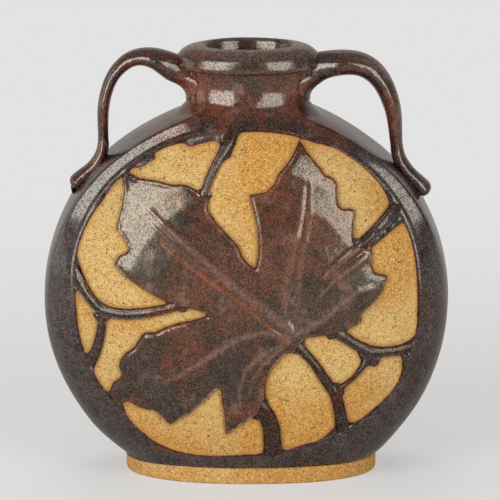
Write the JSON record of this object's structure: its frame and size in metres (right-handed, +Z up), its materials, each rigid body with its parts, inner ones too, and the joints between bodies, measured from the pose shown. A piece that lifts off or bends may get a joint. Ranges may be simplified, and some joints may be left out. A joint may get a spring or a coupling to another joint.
{
  "type": "moon flask vase",
  "caption": "Round flattened stoneware vase with an oval neck, rolled collar, looped handles and a leaf in relief on each face.",
  "frame": {"origin": "middle of the foot's rest plane, under the middle of the body", "axes": "+Z up through the mouth, -Y out of the front face, +X to the right hand as the front is looked at"},
  "size_m": [0.23, 0.1136, 0.2455],
  "materials": {
    "glazed_body": "semi-gloss iron-brown glaze with rust-red and grey-green speckle; the sunk panels are bare ochre clay",
    "relief_glaze": "glossy iron-red to black-brown glaze, rust where it thins over edges and veins",
    "handle_glaze": "semi-gloss iron-brown glaze, paler along the crests of the straps",
    "bare_clay": "unglazed sandy ochre stoneware with iron specks, matt"
  },
  "bodies": {
    "root": {"front_shell": "glazed_body", "back_shell": "glazed_body", "neck": "glazed_body", "collar": "glazed_body", "handle_left": "handle_glaze", "handle_right": "handle_glaze", "floor_slab": "bare_clay", "foot_ring": "bare_clay", "front_leaf": "relief_glaze", "front_stem_top": "relief_glaze", "front_stem_left": "relief_glaze", "front_stem_left_fork": "relief_glaze", "front_stem_bottom": "relief_glaze", "front_stem_petiole": "relief_glaze", "front_stem_right_low": "relief_glaze", "front_stem_right_fork": "relief_glaze", "front_stem_right": "relief_glaze", "back_leaf": "relief_glaze", "back_stem_top": "relief_glaze", "back_stem_left": "relief_glaze", "back_stem_left_fork": "relief_glaze", "back_stem_bottom": "relief_glaze", "back_stem_petiole": "relief_glaze", "back_stem_right_low": "relief_glaze", "back_stem_right_fork": "relief_glaze", "back_stem_right": "relief_glaze"}
  },
  "joints": []
}
